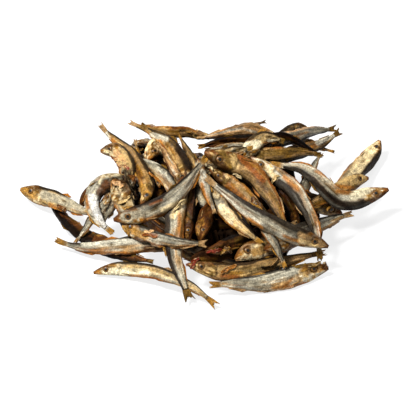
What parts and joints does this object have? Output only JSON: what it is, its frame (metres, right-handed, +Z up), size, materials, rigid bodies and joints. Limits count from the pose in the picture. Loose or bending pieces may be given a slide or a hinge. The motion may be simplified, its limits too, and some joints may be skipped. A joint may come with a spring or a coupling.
{
  "type": "dried sprat heap",
  "caption": "Loose heap of small whole dried fish, bent and crossing, lying on a flat surface as one solid.",
  "frame": {"origin": "centre of the flat underside, at the height of the surface the heap lies on", "axes": "+Z up, +X along the heap's long side to the right as the picture shows it, -Y towards the viewer of the picture"},
  "size_m": [0.3012, 0.2151, 0.0754],
  "materials": {
    "dried_skin": "satin"
  },
  "bodies": {
    "root": {"sprat_heap": "dried_skin"}
  },
  "joints": []
}
